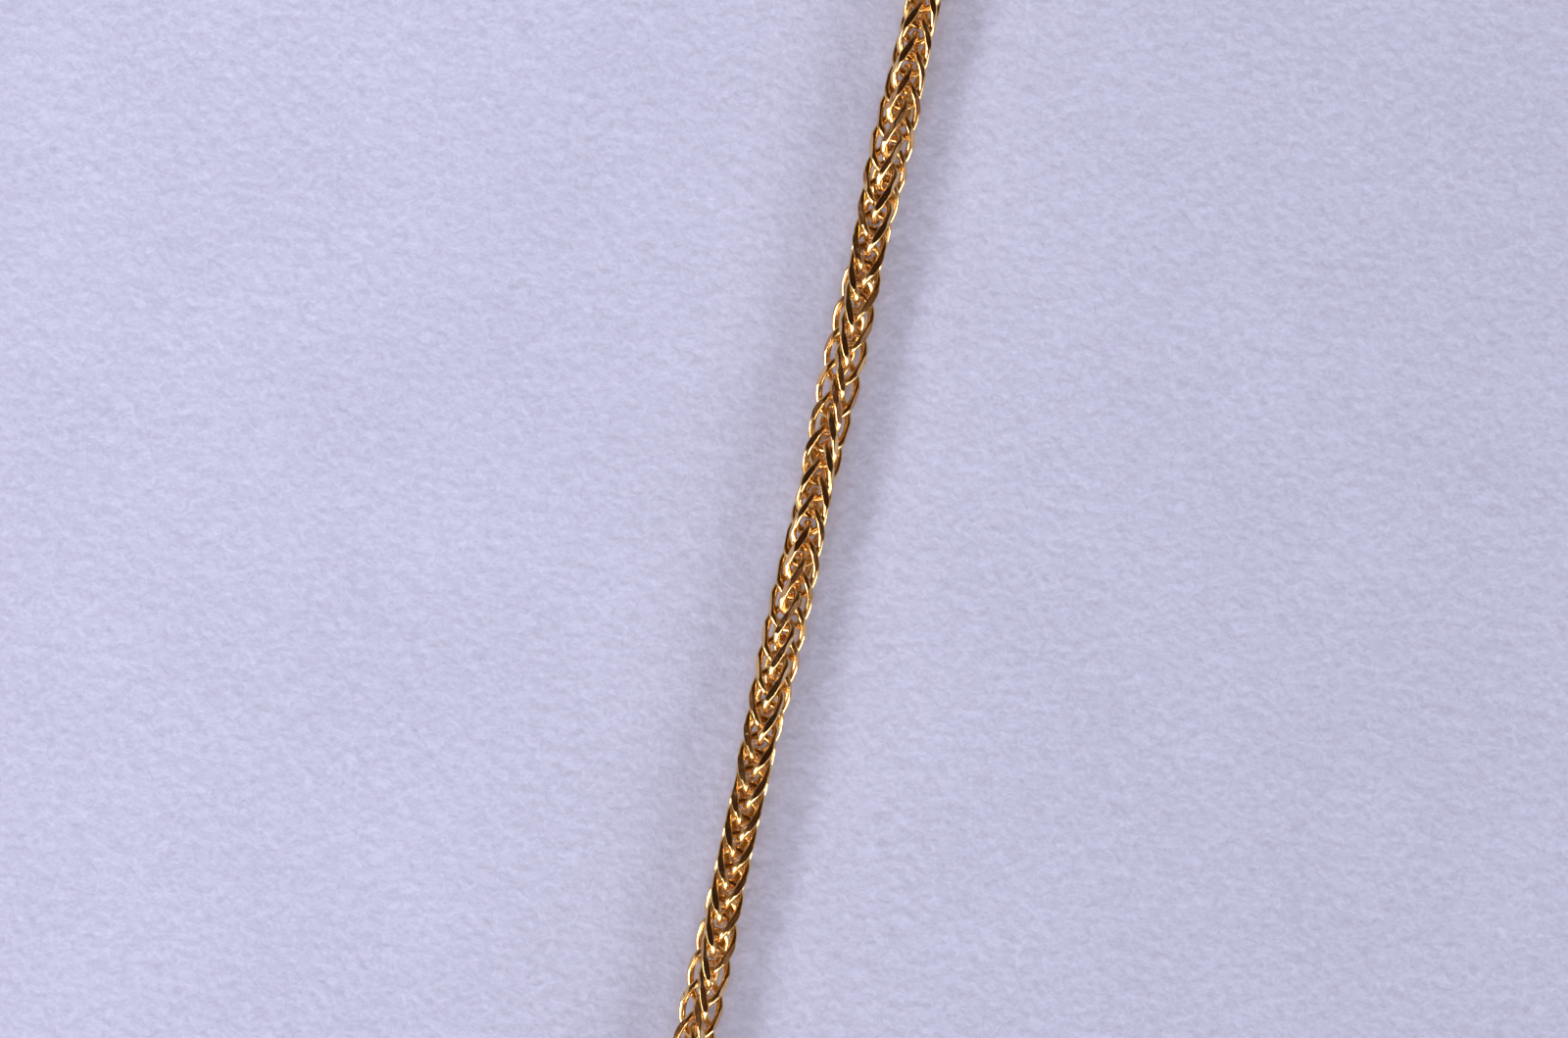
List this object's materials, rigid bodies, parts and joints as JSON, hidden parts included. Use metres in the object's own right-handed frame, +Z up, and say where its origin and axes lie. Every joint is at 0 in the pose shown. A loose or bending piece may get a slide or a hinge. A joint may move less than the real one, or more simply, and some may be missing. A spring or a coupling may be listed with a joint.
{
  "type": "wheat chain necklace",
  "caption": "Thin diamond-cut wheat chain necklace with a barrel clasp, laid flat as a closed loop.",
  "frame": {"origin": "middle of the laid necklace's box, on the surface that it lies on", "axes": "+Z up from the surface; +Y along the straight front run and the loop's long way; +X from the front run to the clasp"},
  "size_m": [0.1165, 0.1642, 0.0026],
  "materials": {
    "cut_gold": "diamond-cut yellow gold wire, bright",
    "polished_gold": "polished yellow gold"
  },
  "bodies": {
    "root": {"chain": "cut_gold", "end_ring_a": "polished_gold", "end_ring_b": "polished_gold", "clasp_barrel": "polished_gold"}
  },
  "joints": []
}
